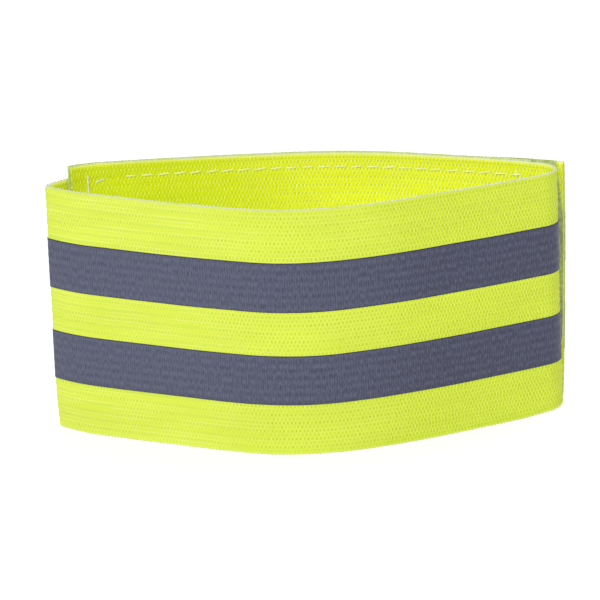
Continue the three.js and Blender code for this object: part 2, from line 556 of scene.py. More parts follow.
@dataclass(frozen=True)
class KnitFinish:
    """Fluorescent ribbed knit: staggered rows of small holes with pale stitches between them.

    The knit lies flat and ribbed at the left of the front, where the band bends away, and its stitches
    lean over at the right, where it is stretched, and on the inner face. The ribs' valleys at the left of
    the front are painted darker and greener, as painted shade, and the inner face is painted lighter than
    the outer one, as painted light.
    """

    stitch: float = 1.1 * MM
    row: float = 1.25 * MM
    nose: tuple[float, float] = (205 * MM, 275 * MM)
    nose_stretch: float = 15.0
    ribbed_from: tuple[float, float] = (238 * MM, 285 * MM)
    leaning_to: tuple[float, float] = (226 * MM, 196 * MM)
    selvedge: tuple[float, float] = (36.6 * MM, 37.3 * MM)
    edge_row: tuple[float, float, float] = (35.7 * MM, 36.1 * MM, 36.6 * MM)
    relaxed_to: tuple[float, float] = (25 * MM, 85 * MM)
    bright: Colour = (0.668, 0.786, 0.071)
    leaning_bright: Colour = (0.668, 0.795, 0.057)
    hole: Colour = (0.53, 0.70, 0.0001)
    thread: Colour = (0.78, 0.84, 0.25)
    cut_face: Colour = (0.42, 0.54, 0.11)
    # Painted shade: the darker, greener colour put in the ribs' valleys.
    valley_shade: Colour = (0.60, 0.745, 0.075)
    # The inner face's colours, threads and holes too, are painted lighter than the outer face's: painted light for the
    # light that reaches the inside of the loop through the cloth.
    inner_yarn_and_painted_light: Colour = (0.91, 0.97, 0.010)
    inner_relaxed: Colour = (0.74, 0.85, 0.001)
    inner_hole: Colour = (0.63, 0.78, 0.0002)
    inner_thread: Colour = (1.0, 1.0, 0.60)
    inner_thread_relaxed: Colour = (1.0, 1.0, 0.27)
    relief: float = 0.08 * MM

    def waves(self, graph: ClothGraph) -> tuple[Any, Any]:
        """The stitches' phase along the strip and the rows' phase up it, both a little uneven.

        Args:
            graph: The material's tree.

        Returns:
            The two phases in radians.
        """
        wander = graph.math("SUBTRACT", graph.noise(graph.cloth, 520), 0.5)
        drift = graph.math("SUBTRACT", graph.noise(graph.cloth, 90, 1), 0.5)
        a = graph.math("MULTIPLY", graph.along, 2 * math.pi / self.stitch)
        a = graph.math("MULTIPLY_ADD", wander, 3.6, a)
        a = graph.math("SUBTRACT", a, graph.ramp(graph.along, *self.nose, 0, self.nose_stretch))
        row_shift = graph.math("SUBTRACT", graph.noise(graph.stretched(110, 900), 1, 0), 0.5)
        loose = graph.ramp(graph.along, *self.leaning_to, 0.5, 4.5)
        a = graph.math("MULTIPLY_ADD", row_shift, loose, a)
        b = graph.math("MULTIPLY", graph.up, math.pi / self.row)
        b = graph.math("MULTIPLY_ADD", drift, 0.7, b)
        return a, b

    def make(self) -> bpy.types.Material:
        """Builds the material.

        Returns:
            The material.
        """
        material = bpy.data.materials.new("fluorescent_knit")
        graph = ClothGraph(material)
        a, b = self.waves(graph)
        side = graph.node("ShaderNodeAttribute", {"attribute_name": SIDE}).outputs["Fac"]
        outer = graph.ramp(side, -0.2, 0.2)
        ribbed = graph.math("MULTIPLY", graph.ramp(graph.along, *self.ribbed_from), outer)
        leaning = graph.math("MAXIMUM", graph.ramp(graph.along, *self.leaning_to), graph.ramp(outer, 1, 0))
        rows = graph.math("COSINE", b)
        from_line = graph.math("ABSOLUTE", rows)
        tall = graph.ramp(from_line, graph.ramp(leaning, 0, 1, 0.4, 0.15), graph.ramp(leaning, 0, 1, 0.95, 0.75))
        sway = graph.ramp(graph.noise(graph.stretched(130, 130), 1, 1), 0.3, 0.7, -1.1, 1.1)
        lean = graph.math("ADD", graph.ramp(outer, 0, 1, -1.5, 0.3), sway)
        row_share = graph.math("FRACT", graph.math("MULTIPLY_ADD", b, 1 / math.pi, 0.5))
        place_in_row = graph.math("SUBTRACT", row_share, 0.5)
        stitches = graph.math("COSINE", graph.math("MULTIPLY_ADD", place_in_row, lean, a))
        brick = graph.math("MULTIPLY", stitches, graph.math("SIGN", rows))
        weakest = graph.ramp(outer, 0, 1, 0.72, graph.ramp(leaning, 0, 1, 0.62, 0.85))
        weak_rows = graph.ramp(rows, -0.2, 0.2, weakest, 1)
        patches = graph.noise(graph.stretched(60, 260), 1)
        least = graph.math("MULTIPLY", graph.ramp(leaning, 0, 1, 0.6, 0.85), graph.ramp(ribbed, 0, 1, 1, 0.08))
        patchy = graph.ramp(patches, 0.3, 0.7, least, 1)
        spotty = graph.ramp(graph.noise(graph.stretched(700, 500), 1, 1), 0.38, 0.62, 0.5, 1)
        strength = graph.math("MULTIPLY", graph.math("MULTIPLY", weak_rows, patchy), tall)
        strength = graph.math("MULTIPLY", graph.math("MULTIPLY", strength, spotty), graph.ramp(ribbed, 0, 1, 1, 0.6))
        deepest = graph.ramp(outer, 0, 1, 1, 1.65)
        holes = graph.math("MULTIPLY", graph.ramp(brick, -0.1, 0.6, 0, deepest), strength)
        threads = graph.math("MULTIPLY", graph.ramp(brick, -0.2, -0.85), strength)
        threads = graph.math("MULTIPLY", threads, graph.ramp(ribbed, 0, 1, 1, 2.2))
        uneven = graph.ramp(graph.noise(graph.stretched(45, 420), 1, 1), 0.35, 0.65, 0.05, 1)
        lines = graph.math("MULTIPLY", graph.ramp(from_line, 0.55, 0.05), graph.ramp(ribbed, 0, 1, 0.3, 0.7))
        lines = graph.math("MULTIPLY", graph.math("MULTIPLY", lines, uneven), graph.ramp(leaning, 0, 1, 1, 0.2))
        from_middle = graph.math("ABSOLUTE", graph.math("SUBTRACT", graph.up, SIZES.height / 2))
        edge = graph.ramp(from_middle, *self.selvedge)
        edge = graph.math("MULTIPLY", edge, graph.ramp(outer, 0, 1, 0.65, 0.45))
        lines = graph.math("MAXIMUM", lines, edge)
        first, full, last = self.edge_row
        edge_row = graph.math("MULTIPLY", graph.ramp(from_middle, first, full), graph.ramp(from_middle, last, full))
        edge_dots = graph.math("MULTIPLY", graph.ramp(stitches, -0.2, 0.8), graph.math("MULTIPLY", edge_row, ribbed))
        threads = graph.math("MAXIMUM", threads, edge_dots)
        edge_row = graph.math("MULTIPLY", edge_row, graph.ramp(leaning, 0, 1, 0.2, 0.75))
        holes = graph.math("MAXIMUM", holes, edge_row)
        # Painted shade in the ribs' valleys: the outer face at the left of the front is darkened and greened along
        # them.
        valley_shade_mask = graph.math("MULTIPLY", graph.ramp(rows, -0.4, 0.9), graph.ramp(ribbed, 0, 1, 0.15, 0.9))
        valley_shade_mask = graph.math("MULTIPLY", graph.math("MULTIPLY", valley_shade_mask, outer), graph.ramp(patches, 0.3, 0.7, 1, 0.3))
        taut = graph.ramp(graph.along, *self.relaxed_to)
        # Painted light: the inner face is lightened, most of all beyond 85 mm along the strip.
        inner = graph.mix(taut, self.inner_relaxed, self.inner_yarn_and_painted_light)
        colour = graph.mix(outer, inner, graph.mix(leaning, self.bright, self.leaning_bright))
        colour = graph.mix(valley_shade_mask, colour, self.valley_shade)
        colour = graph.mix(holes, colour, graph.mix(outer, self.inner_hole, self.hole))
        # The inner face's pale threads are painted lighter too, as painted light.
        inner_pale = graph.mix(taut, self.inner_thread_relaxed, self.inner_thread)
        pale = graph.mix(outer, inner_pale, self.thread)
        cut = graph.math("MULTIPLY", graph.ramp(graph.math("ABSOLUTE", side), 0.98, 0.85), taut)
        threaded = graph.math("MULTIPLY", threads, graph.ramp(outer, 0, 1, 1, 0.85))
        colour = graph.mix(threaded, colour, pale)
        colour = graph.mix(graph.math("MULTIPLY", cut, 0.85), colour, self.cut_face)
        colour = graph.mix(lines, colour, pale)
        shade = graph.ramp(graph.noise(graph.stretched(30, 120), 1, 3), 0.25, 0.75, 0.95, 1.02)
        grain = graph.ramp(graph.noise(graph.cloth, 5200, 1), 0.2, 0.8, 0.95, 1.03)
        tone = graph.math("MULTIPLY", shade, grain)
        toned = graph.node("ShaderNodeVectorMath", {"operation": "SCALE"}, i0=colour, Scale=tone).outputs[0]
        height = graph.math("MULTIPLY_ADD", threads, 0.5, 0.5)
        height = graph.math("MULTIPLY_ADD", holes, -0.5, height)
        height = graph.math("MULTIPLY_ADD", grain, 0.3, height)
        graph.surface(toned, 0.78, height, self.relief, Sheen_Weight=0.04, Sheen_Roughness=0.5,
                      Specular_IOR_Level=0.14)
        return material


@dataclass(frozen=True)
class FilmFinish:
    """Blue-grey reflective film, on which the knit below shows as fine upright streaks.

    It is more streaked at the right of the front and painted darker there, as painted shade, and painted
    lighter towards the left of the front, as painted light.
    """

    # Where the film grows more streaked and is painted darker as painted shade, and where it is painted lighter as
    # painted light.
    streaks_and_shade_span: tuple[float, float] = (226 * MM, 190 * MM)
    painted_light_span: tuple[float, float] = (232 * MM, 285 * MM)
    stitch: float = 0.72 * MM
    cell: float = 2.5 * MM
    dark: Colour = (0.055, 0.058, 0.098)
    light: Colour = (0.110, 0.115, 0.178)
    edge: Colour = (0.034, 0.030, 0.075)
    edge_width: float = 0.35 * MM
    relief: float = 0.08 * MM

    def edges(self, graph: ClothGraph) -> bpy.types.NodeSocket:
        """How near a place on either stripe is to the stripe's long edges.

        Args:
            graph: The material's tree.

        Returns:
            From 0 to 1, at the very edge.
        """
        spacing = SIZES.upper_stripe_foot - SIZES.lower_stripe_foot
        from_foot = graph.math("SUBTRACT", graph.up, SIZES.lower_stripe_foot)
        on_stripe = graph.math("FRACT", graph.math("DIVIDE", from_foot, spacing))
        half = SIZES.stripe_height / 2
        from_middle = graph.math("ABSOLUTE", graph.math("MULTIPLY_ADD", on_stripe, spacing, -half))
        return graph.ramp(from_middle, half - self.edge_width, half)

    def make(self) -> bpy.types.Material:
        """Builds the material.

        Returns:
            The material.
        """
        material = bpy.data.materials.new("reflective_film")
        graph = ClothGraph(material)
        wander = graph.math("SUBTRACT", graph.noise(graph.cloth, 500), 0.5)
        phase = graph.math("MULTIPLY", graph.along, 2 * math.pi / self.stitch)
        wave = graph.math("COSINE", graph.math("MULTIPLY_ADD", wander, 3.5, phase))
        streaks = graph.noise(graph.stretched(1.7 / self.stitch, 1.5 / self.cell), 1, 2)
        cells = graph.math("COSINE", graph.math("MULTIPLY", graph.up, 2 * math.pi / self.cell))
        mixed = graph.math("MULTIPLY_ADD", wave, 0.06, streaks)
        mixed = graph.math("MULTIPLY_ADD", cells, 0.05, mixed)
        streaks_and_shade = graph.ramp(graph.along, *self.streaks_and_shade_span)
        share = graph.ramp(mixed, graph.ramp(streaks_and_shade, 0, 1, 0.25, 0.33), graph.ramp(streaks_and_shade, 0, 1, 0.78, 0.72))
        # Painted shade: the film is darkened towards the right of the front.
        share = graph.math("MULTIPLY_ADD", streaks_and_shade, -0.2, share)
        # Painted light: the film is lightened towards the left of the front.
        share = graph.math("MULTIPLY_ADD", graph.ramp(graph.along, *self.painted_light_span), 0.14, share)
        grain = graph.noise(graph.cloth, 6000, 1)
        share = graph.math("MULTIPLY_ADD", graph.math("SUBTRACT", grain, 0.5), 0.3, share)
        colour = graph.mix(share, self.dark, self.light)
        worn = graph.ramp(graph.noise(graph.stretched(240, 110), 1, 4), 0.68, 0.8, 0, 0.2)
        colour = graph.mix(worn, colour, (0.20, 0.21, 0.27))
        colour = graph.mix(graph.math("MULTIPLY", self.edges(graph), 0.8), colour, self.edge)
        roughness = graph.ramp(graph.noise(graph.cloth, 300), 0.3, 0.7, 0.46, 0.56)
        height = graph.math("MULTIPLY_ADD", grain, 0.12, mixed)
        graph.surface(colour, roughness, height, self.relief, Metallic=0.15, Specular_IOR_Level=0.28)
        return material


@dataclass(frozen=True)
class FuzzFinish:
    """Dyed fibres: pile, hooks, thread or selvedge yarn, uneven from one to the next."""

    name: str
    dark: Colour
    light: Colour
    spot: float = 900
    roughness: float = 0.85
    sheen: float = 0.15
    relief: float = 0.06 * MM

    def make(self) -> bpy.types.Material:
        """Builds the material.

        Returns:
            The material.
        """
        material = bpy.data.materials.new(self.name)
        material.use_nodes = True
        material.node_tree.nodes.clear()
        graph = Graph(material.node_tree)
        here = graph.node("ShaderNodeTexCoord").outputs["Object"]
        patches = graph.noise(here, self.spot, 3)
        fibres = graph.noise(here, 7000, 1)
        share = graph.math("MULTIPLY_ADD", fibres, 0.35, graph.ramp(patches, 0.3, 0.7, -0.15, 0.85))
        colour = graph.mix(share, self.dark, self.light)
        bump = graph.node("ShaderNodeBump", Strength=1.0, Distance=self.relief, Height=fibres).outputs[0]
        rough = graph.ramp(patches, 0.2, 0.8, self.roughness - 0.06, self.roughness + 0.06)
        shader = graph.node("ShaderNodeBsdfPrincipled", Base_Color=colour, Roughness=rough, Normal=bump,
                            Sheen_Weight=self.sheen, Specular_IOR_Level=0.25)
        graph.node("ShaderNodeOutputMaterial", Surface=shader.outputs[0])
        return material


@dataclass(frozen=True)
class Finishes:
    """The materials, made once and shared."""

    knit: bpy.types.Material
    film: bpy.types.Material
    pile: bpy.types.Material
    hooks: bpy.types.Material
    thread: bpy.types.Material
    pale_thread: bpy.types.Material
    selvedge: bpy.types.Material
    cut_yarn: bpy.types.Material

    @classmethod
    def make(cls) -> Finishes:
        """Builds every material."""
        return cls(
            knit=KnitFinish().make(),
            film=FilmFinish().make(),
            pile=FuzzFinish("sage_pile", (0.58, 0.70, 0.28), (0.74, 0.85, 0.41)).make(),
            hooks=FuzzFinish("olive_hooks", (0.43, 0.52, 0.19), (0.64, 0.73, 0.34)).make(),
            thread=FuzzFinish("seam_thread", (0.94, 0.99, 0.28), (1.0, 1.0, 0.62)).make(),
            pale_thread=FuzzFinish("pale_seam_thread", (0.84, 0.86, 0.80), (0.95, 0.95, 0.97)).make(),
            selvedge=FuzzFinish("selvedge_yarn", (0.66, 0.77, 0.28), (0.73, 0.76, 0.82), spot=170).make(),
            cut_yarn=FuzzFinish("cut_yarn", (0.60, 0.72, 0.16), (0.78, 0.86, 0.42)).make(),
        )


def add_object(name: str, mesh: bpy.types.Mesh) -> bpy.types.Object:
    """Puts a mesh in the scene on the armband's body.

    Args:
        name: The object's name.
        mesh: Its mesh, in the row's frame.

    Returns:
        The object.
    """
    made = bpy.data.objects.new(name, mesh)
    bpy.context.scene.collection.objects.link(made)
    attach(made, BODY)
    return made


@dataclass(frozen=True)
class LaidPiece:
    """A piece of cloth laid along the strip: a closed skin with an outer and an inner face."""

    name: str
    places: np.ndarray
    heights: np.ndarray
    outer: Offset
    inner: Offset
    slot: Slot
    trim: Trim | None = None

    def mesh(self, plan: StripPlan) -> bpy.types.Mesh:
        """Builds the skin.

        Args:
            plan: The strip's plan.

        Returns:
            The mesh, with the cloth's map and each point's side.
        """
        at, up = np.meshgrid(self.places, self.heights, indexing="ij")
        spread = at
        if self.trim is not None:
            ease = np.clip(1 - (self.places[-1] - at) / plan.sizes.easing, 0, 1)
            spread = at - self.trim(up) * ease
        outer = plan.place(spread, self.outer(spread, up), up)
        inner = plan.place(spread, self.inner(spread, up), up)
        points = np.concatenate([outer, inner[:, ::-1]], axis=1)
        flat = np.stack([spread, up], axis=-1)
        cloth = np.concatenate([flat, flat[:, ::-1]], axis=1).reshape(-1, 2)
        rows, columns = points.shape[:2]
        tall = len(self.heights)
        index = np.arange(rows * columns).reshape(rows, columns)
        around = np.roll(index, -1, axis=1)
        walls = np.stack([index[:-1], index[1:], around[1:], around[:-1]], axis=-1).reshape(-1, 4)
        caps = []
        for row, flip in ((index[0], False), (index[-1], True)):
            front, back = row[:tall], row[tall:][::-1]
            cap = np.stack([front[:-1], front[1:], back[1:], back[:-1]], axis=-1)
            caps.append(cap[:, ::-1] if flip else cap)
        faces = np.concatenate([walls, *caps])
        mesh = bpy.data.meshes.new(self.name)
        mesh.from_pydata(points.reshape(-1, 3).tolist(), [], faces.tolist())
        corners = np.empty(len(mesh.loops), dtype=np.int32)
        mesh.loops.foreach_get("vertex_index", corners)
        layer = mesh.uv_layers.new(name=CLOTH_UV)
        layer.data.foreach_set("uv", cloth[corners].astype(np.float32).ravel())
        sides = np.ones((rows, columns), dtype=np.float32)
        sides[:, tall:] = -1
        mesh.attributes.new(SIDE, "FLOAT", "POINT").data.foreach_set("value", sides.ravel())
        mesh.shade_smooth()
        mesh.set_sharp_from_angle(angle=math.radians(55))
        mesh.update()
        return mesh

    def make(self, plan: StripPlan, material: bpy.types.Material) -> bpy.types.Object:
        """Builds the piece in its finish.

        Args:
            plan: The strip's plan.
            material: Its finish.

        Returns:
            The object.
        """
        made = add_object(self.name, self.mesh(plan))
        made.data.materials.append(material)
        return made


@dataclass(frozen=True)
class Thread:
    """A short bent thread, repeated along rows.

    Its three points are in the row's own directions: along it, across it and off the cloth.
    """

    start: Colour
    middle: Colour
    end: Colour
    radius: float
    pitch: float
    sides: int = 5
    steps: int = 4
    turn_spread: Colour = (0, 0, 0)
    size_spread: float = 0
    stray: Colour = (0, 0, 0)
    seed: int = 1


class ThreadTree:
    """The Geometry Nodes tree that repeats a bent thread along rows."""

    inputs = (
        ("Pitch", "NodeSocketFloat"),
        ("Start", "NodeSocketVector"),
        ("Middle", "NodeSocketVector"),
        ("End", "NodeSocketVector"),
        ("Radius", "NodeSocketFloat"),
        ("Sides", "NodeSocketInt"),
        ("Steps", "NodeSocketInt"),
        ("Turn Spread", "NodeSocketVector"),
        ("Size Spread", "NodeSocketFloat"),
        ("Stray", "NodeSocketVector"),
        ("Seed", "NodeSocketInt"),
        ("Material", "NodeSocketMaterial"),
    )

    def __init__(self) -> None:
        """Builds the tree."""
        self.tree = bpy.data.node_groups.new("threads_along_rows", "GeometryNodeTree")
        face = self.tree.interface
        face.new_socket(name="Geometry", in_out="INPUT", socket_type="NodeSocketGeometry")
        self.identifiers = {
            name: face.new_socket(name=name, in_out="INPUT", socket_type=kind).identifier
            for name, kind in self.inputs
        }
        face.new_socket(name="Geometry", in_out="OUTPUT", socket_type="NodeSocketGeometry")
        graph = Graph(self.tree)
        given = graph.node("NodeGroupInput").outputs
        rows = graph.node("GeometryNodeMeshToCurve", Mesh=given["Geometry"]).outputs[0]
        rows = graph.node("GeometryNodeResampleCurve", {"mode": "LENGTH"}, Curve=rows, Length=given["Pitch"])
        stray = self._random(graph, given["Stray"], given["Seed"], 11)
        spots = graph.node("GeometryNodeSetPosition", Geometry=rows.outputs[0], Offset=stray)
        line = graph.node("GeometryNodeCurveQuadraticBezier", Resolution=given["Steps"], Start=given["Start"],
                          Middle=given["Middle"], End=given["End"])
        ring = graph.node("GeometryNodeCurvePrimitiveCircle", Resolution=given["Sides"], Radius=given["Radius"])
        thread = graph.node("GeometryNodeCurveToMesh", Curve=line.outputs[0], Profile_Curve=ring.outputs[0],
                            Fill_Caps=True)
        off = graph.node("GeometryNodeInputNamedAttribute", {"data_type": "FLOAT_VECTOR"}, Name=OUTWARD)
        ahead = graph.node("GeometryNodeInputTangent").outputs[0]
        axes = graph.node("FunctionNodeAxesToRotation", {"primary_axis": "Z", "secondary_axis": "X"},
                          Primary_Axis=off.outputs[0], Secondary_Axis=ahead)
        turn = self._random(graph, given["Turn Spread"], given["Seed"], 23)
        twist = graph.node("FunctionNodeEulerToRotation", Euler=turn)
        aim = graph.node("FunctionNodeRotateRotation", {"rotation_space": "LOCAL"}, Rotation=axes.outputs[0],
                         Rotate_By=twist.outputs[0])
        small = graph.math("SUBTRACT", 1, given["Size Spread"])
        large = graph.math("ADD", 1, given["Size Spread"])
        size = graph.node("FunctionNodeRandomValue", {"data_type": "FLOAT"}, i2=small, i3=large,
                          Seed=given["Seed"])
        placed = graph.node("GeometryNodeInstanceOnPoints", Points=spots.outputs[0], Instance=thread.outputs[0],
                            Rotation=aim.outputs[0], Scale=size.outputs[1])
        real = graph.node("GeometryNodeRealizeInstances", Geometry=placed.outputs[0])
        smooth = graph.node("GeometryNodeSetShadeSmooth", Geometry=real.outputs[0])
        dressed = graph.node("GeometryNodeSetMaterial", Geometry=smooth.outputs[0], Material=given["Material"])
        graph.node("NodeGroupOutput", Geometry=dressed.outputs[0])

    @staticmethod
    def _random(graph: Graph, spread: Any, seed: Any, shift: int) -> bpy.types.NodeSocket:
        """A random vector within plus or minus a spread.

        Args:
            graph: The tree's graph.
            spread: The largest vector.
            seed: The row's seed.
            shift: What is added to the seed, so that two vectors differ.

        Returns:
            The vector's socket.
        """
        least = graph.node("ShaderNodeVectorMath", {"operation": "SCALE"}, i0=spread, Scale=-1.0).outputs[0]
        own_seed = graph.math("ADD", seed, shift)
        made = graph.node("FunctionNodeRandomValue", {"data_type": "FLOAT_VECTOR"}, i0=least, i1=spread,
                          Seed=own_seed)
        return made.outputs[0]

    def sew(self, name: str, rows: ThreadRows, thread: Thread, material: bpy.types.Material,
            slot: Slot) -> bpy.types.Object:
        """Repeats a thread along rows, as one plain mesh.

        Args:
            name: The object's name.
            rows: The rows.
            thread: The thread's shape.
            material: Its finish.
            slot: Not used.

        Returns:
            The object.
        """
        made = add_object(name, rows.mesh(name))
        modifier = made.modifiers.new("threads", "NODES")
        modifier.node_group = self.tree
        values = {
            "Pitch": thread.pitch,
            "Start": thread.start,
            "Middle": thread.middle,
            "End": thread.end,
            "Radius": thread.radius,
            "Sides": thread.sides,
            "Steps": thread.steps,
            "Turn Spread": thread.turn_spread,
            "Size Spread": float(thread.size_spread),
            "Stray": thread.stray,
            "Seed": thread.seed,
            "Material": material,
        }
        for key, value in values.items():
            modifier[self.identifiers[key]] = value
        made.update_tag()
        evaluated = made.evaluated_get(bpy.context.evaluated_depsgraph_get())
        plain = bpy.data.meshes.new_from_object(evaluated)
        plain.name = name
        made.modifiers.remove(modifier)
        made.data = plain
        LOG.info("%s: %d threads' faces %d", name, len(rows.lines), len(plain.polygons))
        return made


class ThreadRows:
    """Lines on the cloth, each with the way off the cloth at its points."""

    def __init__(self) -> None:
        """Starts with no rows."""
        self.lines: list[tuple[np.ndarray, np.ndarray]] = []

    def add(self, points: np.ndarray, outward: np.ndarray) -> None:
        """Adds a row.

        Args:
            points: Its points.
            outward: The way off the cloth at each.
        """
        self.lines.append((points, outward))

    def add_on_strip(self, plan: StripPlan, at: Any, out: Any, up: Any, side: Side) -> None:
        """Adds a row that lies on a face of the strip.

        Args:
            plan: The strip's plan.
            at: Places along the strip.
            out: Distances outwards.
            up: Heights on it.
            side: The face.
        """
        at, out, up = np.broadcast_arrays(*(np.asarray(value, float) for value in (at, out, up)))
        self.add(plan.place(at, out, up), side.value * plan.outward(at))

    def mesh(self, name: str) -> bpy.types.Mesh:
        """The rows as one mesh of edges."""
        points = np.concatenate([line for line, _ in self.lines])
        outward = np.concatenate([away for _, away in self.lines])
        edges = []
        first = 0
        for line, _ in self.lines:
            edges += [(first + step, first + step + 1) for step in range(len(line) - 1)]
            first += len(line)
        mesh = bpy.data.meshes.new(name + "_rows")
        mesh.from_pydata(points.tolist(), edges, [])
        attribute = mesh.attributes.new(OUTWARD, "FLOAT_VECTOR", "POINT")
        attribute.data.foreach_set("vector", outward.astype(np.float32).ravel())
        return mesh


@dataclass(frozen=True)
class Webbing:
    """The ribbed elastic, its selvedges and the fringe at its cut ends."""

    plan: StripPlan
    threads: ThreadTree
    finishes: Finishes
    rib: float = 2.5 * MM
    rib_depth: float = 0.14 * MM
    inner_rib_depth: float = 0.12 * MM
    heights_in_rib: int = 5
    edge: float = 0.06 * MM
    edge_radius: float = 0.45 * MM
    seat_gap: float = 0.05 * MM
    step: float = 6 * MM
    turn: float = 3
    selvedge_pitch: float = 1.1 * MM

    def heights(self) -> np.ndarray:
        """The section's heights, closer at its edges and at the stripes' seats."""
        sizes = self.plan.sizes
        low, high = self.edge, sizes.height - self.edge
        count = round(sizes.height / self.rib) * self.heights_in_rib
        even = np.linspace(low, high, count + 1)
        rounding = self.edge_radius * np.array([0.06, 0.3])
        marks = [low + rounding, high - rounding]
        for foot in (sizes.lower_stripe_foot, sizes.upper_stripe_foot):
            for line in (foot - self.seat_gap, foot + sizes.stripe_height + self.seat_gap):
                marks.append(np.array([line - 0.01 * MM, line + 0.01 * MM]))
        marks = np.concatenate(marks)
        clear = np.abs(even[:, None] - marks[None]).min(axis=1) > 0.1 * MM
        clear[[0, -1]] = True
        return np.sort(np.concatenate([even[clear], marks]))

    def _roundness(self, up: np.ndarray) -> np.ndarray:
        """How much of its thickness the webbing has at each height, less at its edges."""
        from_edge = np.minimum(up - self.edge, self.plan.sizes.height - self.edge - up)
        share = np.clip(1 - from_edge / self.edge_radius, 0, 1)
        return np.sqrt(np.clip(1 - share**2, 0.04, 1))

    def _ribs(self, up: np.ndarray, depth: float, seed: int) -> np.ndarray:
        """How far the ribs' valleys lie below their ridges at each height, uneven from rib to rib."""
        count = round(self.plan.sizes.height / self.rib)
        uneven = np.random.default_rng(seed).uniform(0.45, 1.3, count + 2)
        rib = np.clip((up / self.rib + 0.5).astype(int), 0, count + 1)
        return depth * uneven[rib] * (0.5 + 0.5 * np.cos(2 * math.pi * up / self.rib))

    def outer(self, at: np.ndarray, up: np.ndarray) -> np.ndarray:
        """How far out the outer face lies, with its ribs and the stripes' seats."""
        sizes = self.plan.sizes
        face = sizes.half * self._roundness(up) - self._ribs(up, self.rib_depth, 5)
        seat = sizes.film_face - sizes.film_thickness - self.seat_gap
        for foot in (sizes.lower_stripe_foot, sizes.upper_stripe_foot):
            low, high = foot - self.seat_gap, foot + sizes.stripe_height + self.seat_gap
            face = np.where((up > low) & (up < high), seat, face)
        return face

    def inner(self, at: np.ndarray, up: np.ndarray) -> np.ndarray:
        """How far out the inner face lies, with its ribs."""
        sizes = self.plan.sizes
        face = -sizes.half * self._roundness(up) + self._ribs(up, self.inner_rib_depth, 8)
        return face

    def make(self) -> bpy.types.Object:
        """Builds the webbing and what is knitted or frayed at its edges.

        Returns:
            The webbing's object.
        """
        plan, sizes = self.plan, self.plan.sizes
        places = plan.stations(0, plan.length, self.step, self.turn)
        piece = LaidPiece("elastic", places, self.heights(), self.outer, self.inner, Slot.ELASTIC,
                          sizes.tab_trim)
        webbing = piece.make(plan, self.finishes.knit)
        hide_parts("elastic_band")
        selvedge = self.selvedge()
        fringe = self.fringe()
        return webbing

    def selvedge(self) -> bpy.types.Object:
        """The pale yarn that turns back over both long edges, stitch by stitch."""
        plan, sizes = self.plan, self.plan.sizes
        places = plan.stations(0.4 * MM, plan.length - 0.4 * MM, 2 * MM, 4)
        upward = np.tile([0.0, 0.0, 1.0], (len(places), 1))
        rows = ThreadRows()
        foot = 0.12 * MM
        trimmed = places - sizes.tab_bottom_cut * np.clip(1 - (plan.length - places) / sizes.easing, 0, 1)
        for out in (-0.2 * MM, 0.2 * MM):
            rows.add(plan.place(places, out, sizes.height - foot), upward)
            rows.add(plan.place(trimmed, out, 1.6 * foot), -upward)
        thread = Thread(
            start=(-0.27 * MM, -0.06 * MM, -0.08 * MM),
            middle=(0, 0, 0.17 * MM),
            end=(0.27 * MM, 0.06 * MM, -0.08 * MM),
            radius=0.19 * MM,
            pitch=self.selvedge_pitch,
            turn_spread=(0.04, 0.04, 0.2),
            size_spread=0.1,
            seed=3,
        )
        return self.threads.sew("selvedge", rows, thread, self.finishes.selvedge, Slot.ELASTIC)

    def fringe(self) -> bpy.types.Object:
        """The short cut yarns along both ends of the webbing."""
        plan, sizes = self.plan, self.plan.sizes
        up = np.linspace(1 * MM, sizes.height - 1 * MM, 40)
        rows = ThreadRows()
        for out in (-0.3 * MM, 0.3 * MM):
            away = -plan.ahead(np.zeros_like(up))
            rows.add(plan.place(0, out, up), away)
            end = plan.length - sizes.tab_trim(up)
            rows.add(plan.place(end, out, up), plan.ahead(end))
        thread = Thread(
            start=(0, 0, -0.2 * MM),
            middle=(0.05 * MM, 0.05 * MM, 0.05 * MM),
            end=(0.1 * MM, -0.1 * MM, 0.22 * MM),
            radius=0.09 * MM,
            pitch=0.5 * MM,
            sides=4,
            steps=3,
            turn_spread=(0.5, 0.5, 1.5),
            size_spread=0.35,
            seed=9,
        )
        return self.threads.sew("cut_yarns", rows, thread, self.finishes.cut_yarn, Slot.ELASTIC)


@dataclass(frozen=True)
class Stripes:
    """The two stripes of reflective film."""

    plan: StripPlan
    finishes: Finishes
    rib: float = 2.5 * MM
    rib_depth: float = 0.05 * MM
    edge_radius: float = 0.1 * MM

    def stripe(self, name: str, node: str, foot: float) -> bpy.types.Object:
        """Lays one stripe.

        Args:
            name: The piece's name.
            node: The solid that it stands for.
            foot: The height of its lower edge on the strip.

        Returns:
            The object.
        """
        plan, sizes = self.plan, self.plan.sizes
        top = foot + sizes.stripe_height
        even = np.linspace(foot, top, 37)
        edge = self.edge_radius * np.array([0.12, 0.45, 1])
        heights = np.unique(np.concatenate([even, foot + edge, top - edge]))

        def outer(at: np.ndarray, up: np.ndarray) -> np.ndarray:
            """The film's face, with the ribs below it showing."""
            from_edge = np.clip(np.minimum(up - foot, top - up) / self.edge_radius, 0, 1)
            drop = (1 - np.sqrt(1 - (1 - from_edge) ** 2)) * self.edge_radius
            return sizes.film_face - drop - self.rib_depth * (0.5 + 0.5 * np.cos(2 * math.pi * up / self.rib))

        def inner(at: np.ndarray, up: np.ndarray) -> np.ndarray:
            """The film's back."""
            return np.full_like(up, sizes.film_face - sizes.film_thickness)

        places = plan.stations(0, plan.length, 3 * MM, 3)
        piece = LaidPiece(name, places, heights, outer, inner, Slot.FILM, sizes.tab_trim)
        made = piece.make(plan, self.finishes.film)
        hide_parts(node)
        return made

    def make(self) -> list[bpy.types.Object]:
        """Lays both stripes."""
        sizes = self.plan.sizes
        return [
            self.stripe("lower_stripe", "reflective_stripe_lower", sizes.lower_stripe_foot),
            self.stripe("upper_stripe", "reflective_stripe_upper", sizes.upper_stripe_foot),
        ]


